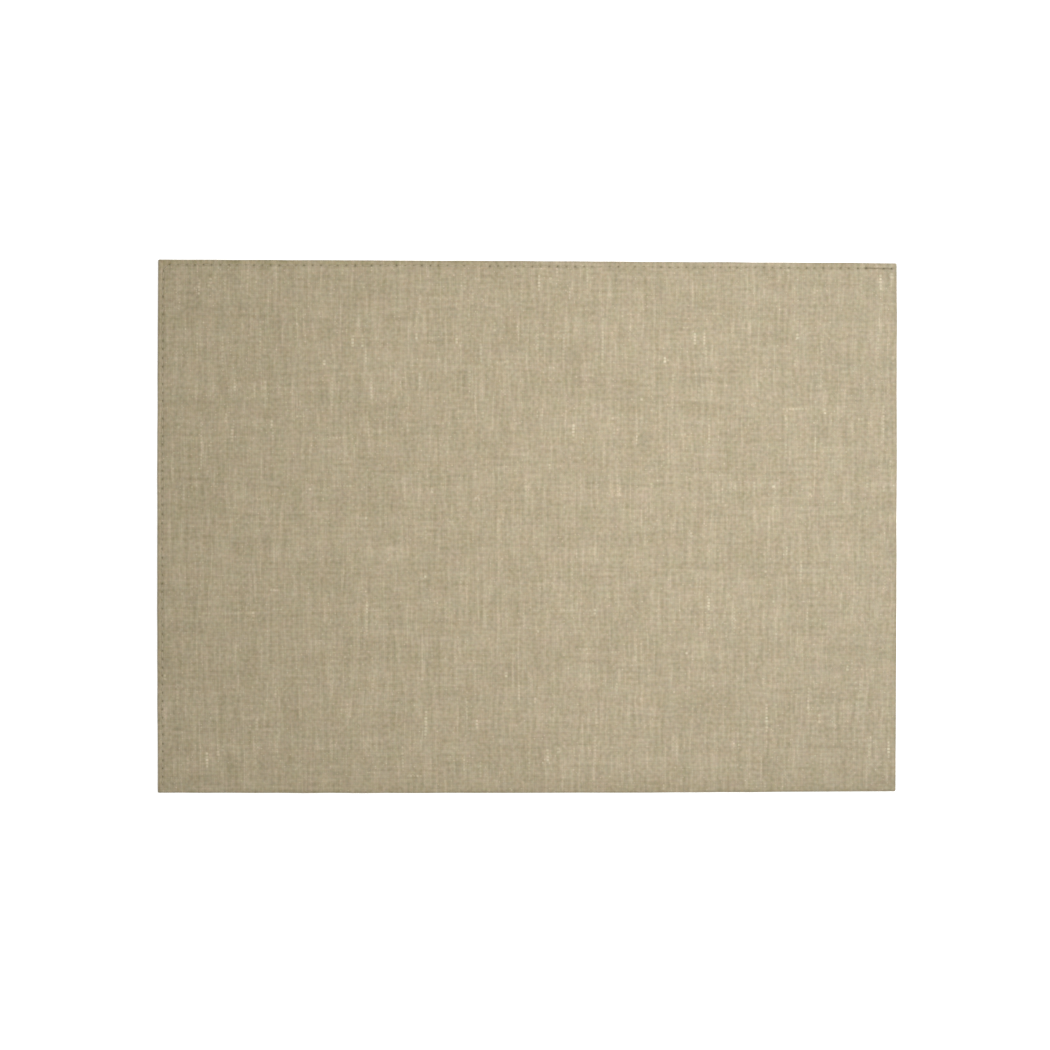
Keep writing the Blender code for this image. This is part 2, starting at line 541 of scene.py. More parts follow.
def linenFinish(name):
    # The cloth's material, from the place in the weave and the values stored on the mesh
    finish = Finish(name, linen["roughness"], linen["sheen"])
    across, along = finish.weave()

    def spots(kind):
        # amount * noise(across / sizeAcross + apartX, along / sizeAlong + apartY)
        amount, sizeAcross, sizeAlong, apartX, apartY, detail = linen[kind]
        return amount * finish.noise(across / sizeAcross + apartX, along / sizeAlong + apartY, detail)

    # Which yarn, and where over it: place / pitch, with its bends, cut into its whole number and the rest
    narrow, long = yarns["bendSize"]
    warp = (across + yarns["bend"] * finish.noise(across / narrow, along / long)) / yarns["pitch"]
    weft = (along + yarns["bend"] * finish.noise(across / long + 40.0, along / narrow)) / yarns["pitch"]
    warpYarn, weftYarn = warp.maths("FLOOR"), weft.maths("FLOOR")
    fromWarp, fromWeft = (warp.maths("FRACT") - 0.5) * 2.0, (weft.maths("FRACT") - 0.5) * 2.0
    # Plain weave: each yarn is round, 1 - roundness * a^2, and rises and sinks as a cosine over its
    # neighbours, turned over from one yarn to the next. The higher of the two shows.
    warpWave = ((weft - 0.5 + warpYarn) * math.pi).maths("COSINE")
    weftWave = ((warp - 0.5 + weftYarn) * math.pi).maths("COSINE")
    warpHeight = 1.0 - linen["roundness"] * fromWarp * fromWarp + linen["wave"] * warpWave
    weftHeight = 1.0 - linen["roundness"] * fromWeft * fromWeft - linen["wave"] * weftWave
    over = (warpHeight - weftHeight).clear(-0.25, 0.25)
    pillow = (warpHeight.above(weftHeight) / (1.0 + linen["wave"])).above(0.0)
    # "lie" is 1 on a slub of the warp, -1 on one of the weft, and 0 on the cloth: a slub is a yarn by itself
    lie = finish.stored("lie")
    onSlub, onWarpSlub = lie * lie, lie.above(0.0)
    over = over * (1.0 - onSlub) + onWarpSlub * onWarpSlub
    pillow = pillow * (1.0 - onSlub) + 0.9 * onSlub
    # Lightness: noise drawn out along each yarn, strongest where that yarn is over, and in patches
    amount, fineness, length = linen["warpStreak"]
    warpTone = finish.noise(warp * fineness, along / length, 0.8)
    light = 1.0 + amount * warpTone * (0.6 + 0.4 * over)
    amount, fineness, length = linen["weftStreak"]
    weftTone = finish.noise(across / length, weft * fineness + 300.0, 0.8)
    light = light + amount * weftTone * (1.0 - 0.4 * over)
    amount, fineness, length, least = linen["warpStretch"]
    warpTone = (finish.noise(warp * fineness + 20.0, along / length) - least).above(0.0)
    light = light + amount * warpTone * (0.5 + 0.5 * over)
    amount, fineness, length, least = linen["weftStretch"]
    weftTone = (finish.noise(across / length + 20.0, weft * fineness + 40.0) - least).above(0.0)
    light = light + amount * weftTone * (1.0 - 0.5 * over)
    light = light + spots("mottle") + spots("patch")
    light = light + spots("warpBand") + spots("weftBand")
    # Fibres run along whichever yarn shows, and here and there one is knotted into a light speck
    warpFibre = finish.noise(across * 7.0, along * 0.9, 1.0)
    weftFibre = finish.noise(across * 0.9 + 50.0, along * 7.0, 1.0)
    fibre = over * warpFibre + (1.0 - over) * weftFibre
    knot = (finish.grain(warpYarn + 0.5, weftYarn + 0.5) - 0.46).above(0.0) * 25.0
    speck = knot * (1.0 - fromWarp * fromWarp) * (1.0 - fromWeft * fromWeft)
    light = light + linen["fibre"] * fibre + linen["nep"] * speck
    # Painted shade between the yarns and down their flanks, where they dive under their neighbours
    paintedGapShade = (1.0 - pillow).maths("POWER", 1.5)
    light = light * (1.0 + linen["gap"] * 0.3 - linen["gap"] * paintedGapShade)
    # Slubs are lighter, needle holes and the rim carry painted shade, and the band outside the seam is darker
    slub = finish.stored("slub")
    light = light + linen["slub"] * slub * (1.0 + 0.4 * fibre)
    for place, shade in linen["shades"].items():
        light = light * (1.0 - shade * finish.stored(place))
    # Painted shade: the cloth darkens a little towards the near side, more so to the right
    toRight = (across / mat["length"]).maths("MINIMUM", 1.0)
    nearShade = linen["nearShade"] + linen["nearShadeRight"] * toRight
    light = light * (1.0 - nearShade * (1.0 - along.clear(*linen["nearStretch"])))
    # Colour: the cloth leans to pink or to green, in grains and in patches, and is greener to the right
    amount, start = linen["greenRight"]
    hue = linen["greenShare"] + spots("hueGrain") + spots("huePatch") + amount * (toRight - start).above(0.0)
    least, most = linen["hueRange"]
    hue = (hue + linen["greenSlub"] * slub).above(least).maths("MINIMUM", most)
    colour = finish.blend(hue, linen["pink"], linen["green"])
    # It is also a little yellower outside the seam, and to the left as a painted warm tint of the light
    yellow = spots("yellowGrain") + spots("yellowPatch") + linen["yellowBand"] * finish.stored("band")
    yellow = yellow + linen["paintedWarmLightLeft"] * (0.5 - toRight)
    finish.show("Base Color", finish.tinted(colour, light, yellow))
    finish.show("Roughness", 0.92 - 0.10 * pillow)
    finish.emboss(linen["yarnHeight"] * (pillow + 0.10 * fibre + 0.5 * speck))
    return finish.material


linenCloth = linenFinish("natural linen cloth")
print("linen finish made")


cloth = {
    "rowInset": (6.4, 5.7, 5.05, 4.5, 4.05, 3.7, 3.4, 3.1, 2.8, 2.45, 2.0, 1.45, 0.95, 0.55, 0.28, 0.12),
    "foldStep": 1.75,                   # spacing of the rim's points on the two folded sides
    "besideHole": (0.45, 1.1),          # and beside each hole on the stitched ones
    "cornerSteps": (0.25, 0.5, 0.8, 1.15, 1.6, 2.2, 3.0, 4.0),  # and from each corner, on both sides
    "noseInset": (0.03, 0.0, 0.03),     # the rim's outermost three rows
    "noseLevel": 0.26,                  # share of the half thickness at the first and last of them
    "wanderReach": 1.5,                 # the outline's unevenness dies away this far in
    "backDent": 0.35,
    "faceCell": 2.05,
    "faceGap": 0.9,                     # between the rim's innermost row and the face's grid
    "backCell": 4.6,
    "backGap": 1.6,
    "backSide": (600.0, 500.0),         # where the back's piece of the weave starts
    "backNeedle": 0.6,                  # how dark the holes' painted shade is on the back, against the face
    "rimWidth": 2.4,                    # how far in the rolled rim's painted shade reaches
    "band": ((-0.9, 0.1), (120, 260)),  # where the far side's dark band ends, inwards and to the right
    "bakeMargin": 9.0,
    "bakeBack": ((0.01, 0.745), (0.98, 0.245)),  # the back's corner and size in the map for baking
}


def rimPlaces():
    # Places round the mat, from 0 to 4: near side to the right, right side to the far, far side to the left,
    # and left side to the near. On the stitched sides they stand at and beside each hole.
    inset = seam["inset"]
    first, second = cloth["besideHole"]
    beside = np.array([-seam["left"][1] / 2, -second, -first, 0, first, second])
    places = [[0.0]]
    for side, row in enumerate((None, None, holes[leftCount:, 0], holes[:leftCount, 1])):
        size = mat["depth"] if side % 2 else mat["length"]
        if row is None:
            share = np.linspace(0, 1, round((size - 2 * inset) / cloth["foldStep"]), endpoint=False)
        else:
            share = 1 - ((row[::-1, None] + beside).ravel() - inset) / (size - 2 * inset)
        ends = np.array(cloth["cornerSteps"]) / size
        inner = share[(share > ends[-1]) & (share < 1 - ends[-1])]
        places.append(side + np.sort(np.concatenate([ends, inner, 1 - ends])))
        places.append([side + 1.0])
    return np.concatenate(places)[:-1]


def roundTheMat(place):
    # Shares across and along of a place from 0 to 4 on the square's edge
    corners = range(5)
    return np.interp(place, corners, [0, 1, 1, 0, 0]), np.interp(place, corners, [0, 0, 1, 1, 0])


def atInset(acrossShare, alongShare, inset):
    # A ring at one inset: inset + share * (size - 2 inset)
    across = inset + acrossShare * (mat["length"] - 2 * inset)
    along = inset + alongShare * (mat["depth"] - 2 * inset)
    return across, along


def gridRing(columns, rows):
    # The border of a grid of points, in the order of rimPlaces(), and its places
    acrossIndex, alongIndex = np.arange(columns), np.arange(rows)
    ring = np.concatenate([
        acrossIndex,
        columns + alongIndex * (columns + 1),
        rows * (columns + 1) + columns - acrossIndex,
        (rows - alongIndex) * (columns + 1),
    ])
    places = np.concatenate([
        acrossIndex / columns, 1 + alongIndex / rows, 2 + acrossIndex / columns, 3 + alongIndex / rows])
    return ring, places


def flatGrid(side):
    # Even points over one side of the cloth, inside the rim, in rows along +X
    cell, inset = cloth[side + "Cell"], cloth["rowInset"][0] + cloth[side + "Gap"]
    columns = round((mat["length"] - 2 * inset) / cell)
    rows = round((mat["depth"] - 2 * inset) / cell)
    alongShare, acrossShare = np.meshgrid(
        np.linspace(0, 1, rows + 1), np.linspace(0, 1, columns + 1), indexing="ij")
    return atInset(acrossShare.ravel(), alongShare.ravel(), inset), columns, rows


def fillInside(places, columns, rows, ringStart, gridStart, facing):
    # The faces of one side's grid, and of the strip between it and the rim's row that starts at ringStart
    ring, ringPlaces = gridRing(columns, rows)
    index = np.concatenate([ringStart + np.arange(len(places)), gridStart + ring])
    strip = index[zipRings(places, ringPlaces)]
    grid = sleeve(rows + 1, columns + 1, gridStart, closed=False)
    return (grid[:, ::-1], strip) if facing > 0 else (grid, strip[:, ::-1])


def makeCloth():
    # One closed sheet: the rim's rows, and an even grid inside them on each side. A point's height is
    # half the thickness, plus or minus half of it times fullness, with relief and dents.
    half = mat["thickness"] / 2
    places = rimPlaces()
    shares = roundTheMat(places)
    count = len(places)
    # The turned-in sides carry a groove at mid-thickness, which dies away towards the folded ones
    grooveAcross, grooveAlong = atInset(*shares, 0.0)
    turnedIn = np.maximum(ease(-grooveAcross, -0.5, 0.0), ease(grooveAlong - mat["depth"], -0.5, 0.0))
    turnedIn = turnedIn * ease(mat["length"] - grooveAcross, 0.5, 5.0) * ease(grooveAlong, 0.5, 5.0)
    # Rows from the face's inner row, out to the edge, round it and in again under the mat
    front = np.array(cloth["rowInset"])[:, None]
    nose = np.array(cloth["noseInset"])[:, None]
    rowInset = np.concatenate([front, nose, front[::-1]])
    rowSide = np.repeat([1, 0, -1], [len(front) + 1, 1, len(front) + 1])[:, None]
    isNose = rowInset <= nose.max()
    wander = waves(grooveAcross, grooveAlong, *mat["edgeWander"], mat["seed"] + 5)
    inset = rowInset + wander * np.exp(-rowInset / cloth["wanderReach"])
    inset = inset + np.where(rowSide == 0, mat["turnGroove"] * turnedIn, 0)
    across, along = atInset(*shares, inset)
    level = np.where(isNose, cloth["noseLevel"], fullness(across, along))
    height = half + rowSide * half * level
    dents = nearHoles(across, along, seam["dentRadius"])
    height = height + np.where((rowSide > 0) & ~isNose, relief(across, along), 0)
    height = height - np.where(rowSide > 0, seam["dentDepth"] * dents, 0)
    height = height + np.where(rowSide < 0, cloth["backDent"] * dents, 0)
    rimPoints = toMesh(across, along, height)

    # The weave runs on round the edge: its inset is the first row's, less the length of the section so far
    sectionInset, sectionHeight = inset.mean(axis=1), height.mean(axis=1)
    steps = np.hypot(np.diff(sectionInset), np.diff(sectionHeight))
    laid = front[0] - np.append(0, np.cumsum(steps))
    rimWeave = weavePlace(*atInset(*shares, laid[:, None]))

    face, faceColumns, faceRows = flatGrid("face")
    facePoints = toMesh(*face, faceHeight(*face))
    back, backColumns, backRows = flatGrid("back")
    backPoints = toMesh(*back, half - half * fullness(*back))

    rimCount, faceCount, lastRow = len(rimPoints), len(facePoints), len(rimPoints) - count
    frontFaces = [sleeve(len(rowInset), count)]
    frontFaces += fillInside(places, faceColumns, faceRows, 0, rimCount, 1)
    backFaces = fillInside(places, backColumns, backRows, lastRow, rimCount + faceCount, -1)

    points = np.vstack([rimPoints, facePoints, backPoints])
    weave = np.vstack([rimWeave, weavePlace(*face), np.column_stack(back) + cloth["backSide"]])
    # The back's outer strip takes its weave from its own laid-out place, with the rest of the back
    backWeave = weave.copy()
    backWeave[lastRow:lastRow + count] = np.column_stack([across[-1], along[-1]]) + cloth["backSide"]
    frontUv = np.vstack([weave[corners.ravel()] for corners in frontFaces])
    backUv = np.vstack([backWeave[corners.ravel()] for corners in backFaces])
    # A map for baking: the face and its rim at one scale, and the back, squeezed, above them
    margin, (start, size) = cloth["bakeMargin"], np.array(cloth["bakeBack"])
    bake = np.vstack([
        (frontUv + margin) / (mat["length"] + 2 * margin),
        start + size * ((backUv - cloth["backSide"]) / (mat["length"], mat["depth"])),
    ])

    allAcross, allAlong = np.hstack([(across.ravel(), along.ravel()), face, back])
    isBack = np.concatenate([
        np.repeat(rowSide < 0, count), np.zeros(faceCount, bool), np.ones(len(backPoints), bool)])
    # Painted shade in and round each needle hole, fainter on the back
    needle = nearHoles(allAcross, allAlong, seam["dotRadius"]) * np.where(isBack, cloth["backNeedle"], 1.0)
    # Outside the seam, the left part of the far side is a shade darker and more olive
    inwards, rightwards = cloth["band"]
    outside = 1 - ease(seamOffset(allAcross, allAlong), *inwards)
    onFar = mat["depth"] - allAlong < allAcross
    values = {
        "needle": needle,
        # Painted shade on the rolled rim, fading out over its last few millimetres
        "rim": 1 - ease(toEdge(allAcross, allAlong), 0.0, cloth["rimWidth"]),
        "band": outside * onFar * (1 - ease(allAcross, *rightwards)),
        "slub": 0 * needle,
        "lie": 0 * needle,
    }
    uvs = {"weave": np.vstack([frontUv, backUv]), "OFBake": bake}
    return addPiece("linen_cloth", points, [*frontFaces, *backFaces], uvs, values, linenCloth)


linenPiece = makeCloth()


thread = {
    "radius": 0.26,
    "backRadius": 0.20,
    "atHole": 0.95,           # height of the thread's middle where it dives into the cloth
    "plyTurn": 2.5,           # length of one turn of the three plies
    "plyDepth": 0.13,
    "slant": 0.10,            # how far it strays from the line between its holes
    "lying": 0.35,            # how high its middle lies on the cloth, in radii
    "rise": 0.45,             # a low power lifts it soon out of the hole
    "inHole": (0.35, 0.93),   # it is in the hole below this share of its rise
    "drawnThin": 0.25,        # and this much thinner there
    "last": (3.5, 3.1),       # the last stitches start here, counted from the end
    "heavier": 0.5,           # their added thickness
    "darker": (0.85, 0.3),    # and how dark their thread is, above and below
    "rings": 24,
    "sides": 10,
    "backRings": 12,
    "backSides": 8,
    "colour": (0.350, 0.298, 0.200, 1.0),
    "dark": (0.210, 0.173, 0.106, 1.0),
    "fibre": 0.22,
    "mottle": 0.16,
    "inHoleShade": 0.45,
    "bakeCells": (13, 24.2),  # the stitches' cells in the map for baking: columns and rows
    "bakeMargin": 0.04,
}


def threadFinish():
    # The thread's material. Fine fibres run slantwise round the plies: noise(1.2 run, 9 turn + 4 run)
    finish = Finish("sewing thread", 0.7, 0.15)
    run, turn = finish.weave()
    fibres = finish.noise(run * 1.2, turn * 9.0 + run * 4.0, 1.0)
    mottle = finish.noise(run / 2.0, turn, 1.0)
    light = 1.0 + thread["fibre"] * fibres + thread["mottle"] * mottle
    # Painted shade where the thread dives into its needle hole
    light = light * (1.0 - thread["inHoleShade"] * finish.stored("needle"))
    colour = finish.blend(finish.stored("darkEnd"), thread["colour"], thread["dark"])
    finish.show("Base Color", finish.tinted(colour, light))
    finish.emboss(0.03 * fibres)
    return finish.material


def threadLine(side, rings):
    # Over each stitch, t from 0 to 1: from hole to hole, to the side by slant * sin(2 pi t), and up on the
    # cloth as sin(pi t)^rise, from the depth of the holes
    run = np.diff(holes, axis=0)
    share = np.arange(rings) / rings
    slant = thread["slant"] * np.sin(2 * math.pi * share) * side
    sideways = np.column_stack([-run[:, 1], run[:, 0]]) / np.hypot(run[:, 0], run[:, 1])[:, None]
    line = holes[:-1, None] + share[:, None] * run[:, None] + slant[:, None] * sideways[:, None]
    across, along = line[..., 0], line[..., 1]
    rise = np.broadcast_to(np.sin(math.pi * share) ** thread["rise"], across.shape)
    half = mat["thickness"] / 2
    if side > 0:
        lying = half + half * fullness(across, along) + relief(across, along)
        lying = lying + thread["lying"] * thread["radius"]
    else:
        lying = np.maximum(half - half * fullness(across, along), thread["backRadius"] * 1.2 + 0.02)
    height = thread["atHole"] + rise * (lying - thread["atHole"])
    path = np.stack([across.ravel(), along.ravel(), height.ravel()], axis=-1)
    last = np.append(holes[-1], thread["atHole"])
    needle = np.append((1 - ease(rise, *thread["inHole"])).ravel(), 1.0)
    return np.vstack([path, last]), needle


def lastStitches(count, rings):
    # 0 along the thread, and 1 over its last three stitches
    low, high = count / rings - np.array(thread["last"])
    return ease(np.arange(count) / rings, low, high)


def threadTube(side, radius, rings, sides):
    # A circle carried along the path, its radius 1 + depth * cos(3 (angle - twist)) for the three plies
    path, needle = threadLine(side, rings)
    ahead = np.gradient(path, axis=0)
    ahead = ahead / np.linalg.norm(ahead, axis=1)[:, None]
    across = np.cross(ahead, [0.0, 0.0, 1.0])
    across = across / np.maximum(np.linalg.norm(across, axis=1), 1e-6)[:, None]
    over = np.cross(across, ahead)
    run = np.append(0, np.cumsum(np.linalg.norm(np.diff(path, axis=0), axis=1)))
    angle = 2 * math.pi * np.arange(sides) / sides
    twist = 2 * math.pi * run[:, None] / thread["plyTurn"]
    ply = radius * (1 + thread["plyDepth"] * np.cos(3 * (angle - twist)))
    ply = ply * (1 - thread["drawnThin"] * needle[:, None])
    if side > 0:
        ply = ply * (1 + thread["heavier"] * lastStitches(len(path), rings)[:, None])
    tube = path[:, None] + ply[..., None] * (
        np.cos(angle)[None, :, None] * across[:, None] + np.sin(angle)[None, :, None] * over[:, None])
    points = toMesh(*np.vstack([tube.reshape(-1, 3), path[[0, -1]]]).T)
    poles = len(path) * sides
    caps = np.vstack([fan(0, sides, poles), fan(poles - sides, sides, poles + 1, turned=True)])
    return points, sleeve(len(path), sides), caps, run, needle


def makeStitching():
    # The thread above the cloth and the one below it, as one piece
    allPoints, quads, caps, weave, bake, needles, darkEnd = [], [], [], [], [], [], []
    capWeave, capBake = [], []
    bakeColumns, bakeRows = thread["bakeCells"]
    margin, within = thread["bakeMargin"], 1 - 2 * thread["bakeMargin"]
    base = 0
    parts = (
        (1, thread["radius"], thread["rings"], thread["sides"]),
        (-1, thread["backRadius"], thread["backRings"], thread["backSides"]),
    )
    for part, (side, radius, rings, sides) in enumerate(parts):
        points, faces, ends, run, needle = threadTube(side, radius, rings, sides)
        count = len(run)
        quads.append(faces + base)
        caps.append(ends + base)
        # UV: run along the thread and turn round it. For baking, each stitch has a cell of its own.
        row, column = np.divmod(np.arange((count - 1) * sides), sides)
        ringOf = np.stack([row + 1, row + 1, row, row], axis=-1)
        turnOf = np.stack([column, column + 1, column + 1, column], axis=-1)
        weave.append(np.stack([run[ringOf], turnOf / sides], axis=-1).reshape(-1, 2))
        stitch = row // rings
        cellRow, cellColumn = np.divmod(stitch, bakeColumns)
        u = cellColumn[:, None] + margin + within * (ringOf - stitch[:, None] * rings) / rings
        v = cellRow[:, None] + part * (bakeRows // 2) + margin + within * turnOf / sides
        u, v = u / bakeColumns, v / bakeRows
        bake.append(np.stack([u, v], axis=-1).reshape(-1, 2))
        needles.append(np.append(np.repeat(needle, sides), [1, 1]))
        # The last stitches at the right end are darker
        dark = lastStitches(count, rings) * thread["darker"][part]
        darkEnd.append(np.append(np.repeat(dark, sides), dark[[0, -1]]))
        # Each triangle of the ends has a small place of its own, above the cells
        corners = np.array([[0.0, 0.0], [0.4, 0.0], [0.2, 0.4]])
        capWeave.append(np.tile(corners, (2 * sides, 1)))
        offset = np.array([[[0.02 * (number + 1), 0.992 + 0.0035 * part]] for number in range(2 * sides)])
        capBake.append((offset + corners * (0.03, 0.007)).reshape(-1, 2))
        allPoints.append(points)
        base += len(points)
    uvs = {"weave": np.vstack(weave + capWeave), "OFBake": np.vstack(bake + capBake)}
    values = {"needle": np.concatenate(needles), "darkEnd": np.concatenate(darkEnd)}
    return addPiece("edge_stitching", np.vstack(allPoints), quads + caps, uvs, values, threadFinish())


stitchingPiece = makeStitching()


# The thickest places of the yarns, where they show on the face. Columns: across, distance from the far edge,
# length, width, lightness from 0 to 1, and 1 for one that runs across the mat in the weft.
slubRows = [
    (25.3, 16.8, 9.3, 1.4, 0.95, 0), (32.2, 13.7, 3.7, 1.8, 0.95, 0), (35.6, 10.0, 4.4, 1.3, 0.60, 0),
    (55.2, 14.3, 17.4, 1.3, 0.45, 0), (24.1, 52.3, 24.9, 1.3, 0.45, 0), (63.9, 52.3, 28.0, 1.3, 0.56, 0),
    (40.2, 59.1, 21.1, 1.3, 0.50, 0), (121.4, 51.0, 7.5, 1.4, 0.95, 0), (127.3, 51.0, 7.5, 1.4, 0.95, 0),
    (128.9, 59.7, 9.3, 1.3, 0.60, 0), (103.1, 64.1, 3.1, 1.5, 1.00, 0), (88.8, 88.3, 3.1, 1.3, 0.70, 0),
    (132.3, 80.2, 13.7, 1.3, 0.50, 0), (70.7, 100.8, 3.1, 1.5, 0.95, 0), (72.0, 108.2, 7.5, 1.3, 0.55, 0),
    (46.5, 107.6, 8.7, 1.5, 0.90, 0), (26.6, 103.9, 18.7, 1.3, 0.45, 0), (12.3, 103.9, 3.7, 1.3, 0.60, 1),
    (31.5, 131.2, 5.0, 1.3, 0.60, 0), (131.1, 103.9, 10.0, 1.3, 0.55, 0), (112.4, 110.1, 10.0, 1.3, 0.60, 1),
    (16.6, 143.7, 11.2, 1.3, 0.50, 0), (95.0, 142.4, 2.5, 1.4, 0.75, 0), (195.7, 22.4, 10.0, 1.3, 0.60, 0),
    (13.5, 23.0, 17.4, 1.3, 0.45, 0), (185.2, 49.1, 5.0, 1.5, 0.90, 0), (200.7, 55.4, 16.2, 1.3, 0.50, 0),
    (162.2, 74.0, 8.7, 1.3, 0.55, 0), (202.0, 95.2, 4.4, 1.5, 0.90, 0), (197.0, 130.0, 8.7, 1.3, 0.55, 0),
    (170.2, 142.4, 3.1, 1.5, 0.90, 0), (59.5, 220.8, 4.4, 1.5, 0.90, 0), (40.2, 219.6, 33.6, 1.3, 0.35, 1),
    (130.4, 215.8, 7.5, 1.4, 0.95, 0), (130.4, 228.3, 11.2, 1.3, 0.55, 0), (116.8, 246.3, 2.5, 1.5, 0.90, 0),
    (4.8, 259.4, 3.1, 1.5, 0.90, 0), (12.9, 270.0, 12.4, 1.3, 0.50, 0), (165.9, 195.9, 2.5, 1.4, 0.90, 0),
    (188.3, 195.3, 13.7, 1.3, 0.50, 0), (133.5, 263.7, 7.5, 1.3, 0.60, 0), (73.8, 268.1, 7.5, 1.3, 0.60, 0),
    (166.5, 286.8, 16.2, 1.5, 0.85, 0), (198.9, 288.0, 6.2, 1.5, 0.90, 0), (192.0, 276.2, 17.4, 1.3, 0.50, 0),
    (61.4, 288.6, 7.5, 1.8, 0.60, 0), (108.1, 83.3, 22.0, 1.3, 0.50, 0),
]

slubs = {
    "repeatAcross": (211.8, 2.8),         # the cloth's main slubs come again this far over and back
    "repeatDown": (5.3, 293.0),
    "scattered": 150,                     # smaller ones, anywhere, of these lengths and so on
    "lengths": (1.5, 1.5, 2.6),           # the first of these, plus a gamma draw of the others
    "widths": (1.0, 1.3),
    "lights": (0.25, 0.75),
    "weftShare": 0.25,                    # of them that run across the mat
    "lightPower": 1.5,
    "thinAtEnds": (0.70, 0.30),           # a float's share of its slub's width, and what its taper adds
    "faintAtEnds": (0.45, 0.55),
    "uneven": ((0.85, 1.10), (0.50, 1.15)),  # random share of each float's width and lightness
    "inside": 1.5,                        # none stands nearer to the edge than this
    "floatLength": 2.20,                  # of one thick yarn over its neighbour, at its foot
    "height": 0.10,
    "breadth": 0.82,                      # half of a float's breadth at its foot, in widths of its yarn
    "squareness": 0.62,                   # 1 makes an ellipse of a float, and less squares it up
    "apart": 1.5,
    "sunk": 0.030,                        # how far the cushion's rim lies under the face
    "ringShare": (0.50, 0.82, 1.00, 0.70),  # reach of each ring, the last of them underneath
    "ringLight": (0.86, 0.22, 0.00, 0.00),  # how light each ring is, against the middle
    "ringLie": (1.00, 0.50, 0.00, 0.00),  # and how far its weave gives way to one thick yarn
    "sides": 12,
    "seed": 41,
}


def slubTable():
    # The main slubs, each moved by whole repeats, and the scattered ones after them
    rows = np.array(slubRows)
    placed = []
    for over in range(3):
        for down in range(2):
            moved = rows.copy()
            moved[:, 0] += over * slubs["repeatAcross"][0] + down * slubs["repeatDown"][0]
            moved[:, 1] += down * slubs["repeatDown"][1] - over * slubs["repeatAcross"][1]
            placed.append(moved)
    placed = np.vstack(placed)
    pick = seeded(slubs["seed"])
    count = slubs["scattered"]
    extra = np.column_stack([
        pick.uniform(0, mat["length"], count),
        pick.uniform(0, mat["depth"], count),
        slubs["lengths"][0] + pick.gamma(*slubs["lengths"][1:], count),
        pick.uniform(*slubs["widths"], count),
        pick.uniform(*slubs["lights"], count),
        pick.random(count) < slubs["weftShare"],
    ])
    return np.vstack([placed, extra])


def slubFloats():
    # Across, along, width, lightness and direction of each float of a slub: on yarn i the floats over the
    # weft lie at every second place j, where i + j is even, and on a weft yarn where it is odd
    table, pitch = slubTable(), yarns["pitch"]
    weftwise = table[:, 5] > 0
    midAcross, midAlong = table[:, 0], mat["depth"] - table[:, 1]
    swayAcross, swayAlong = yarnSway(midAcross, midAlong)
    yarn = np.floor(np.where(weftwise, midAlong + swayAlong, midAcross + swayAcross) / pitch)
    midPlace = np.where(weftwise, midAcross + swayAcross, midAlong + swayAlong)
    most = int(table[:, 2].max() / (2 * pitch)) + 2
    step = np.arange(-most, most + 1)
    centre = np.round((midPlace / pitch - 0.5 - yarn - weftwise) / 2) * 2 + yarn + weftwise
    place = (centre[:, None] + 2 * step + 0.5) * pitch
    # t runs along the slub from about -0.5 to 0.5, and its taper is sqrt(1 - (1.7 t)^2)
    t = (place - midPlace[:, None]) / np.maximum(table[:, 2, None], 2.0)
    kept = (np.abs(t) < 0.52) | (step == 0)
    taper = np.sqrt(np.clip(1 - (1.7 * t) ** 2, 0.10, 1))
    onYarn = np.broadcast_to(((yarn + 0.5) * pitch)[:, None], place.shape)
    across = np.where(weftwise[:, None], place, onYarn)
    along = np.where(weftwise[:, None], onYarn, place)
    swayAcross, swayAlong = yarnSway(across, along)
    across, along = across - swayAcross, along - swayAlong
    kept &= (toEdge(across, along) > slubs["inside"]) & (nearHoles(across, along, 1.0) < 0.3)
    pick = seeded(slubs["seed"] + 1)
    least, added = slubs["thinAtEnds"]
    width = table[:, 3, None] * (least + added * taper) * pick.uniform(*slubs["uneven"][0], place.shape)
    least, added = slubs["faintAtEnds"]
    share = table[:, 4, None] ** slubs["lightPower"] * (least + added * taper)
    share = share * pick.uniform(*slubs["uneven"][1], place.shape)
    direction = np.broadcast_to(weftwise[:, None], place.shape)
    across, along, width, share, direction = (
        value[kept] for value in (across, along, width, share, direction))
    # Of two that would run into each other, the first is kept
    distance = np.hypot(across[:, None] - across, along[:, None] - along)
    clear = ~np.any(np.tril(distance < slubs["apart"], -1), axis=1)
    return across[clear], along[clear], width[clear], share[clear], direction[clear]


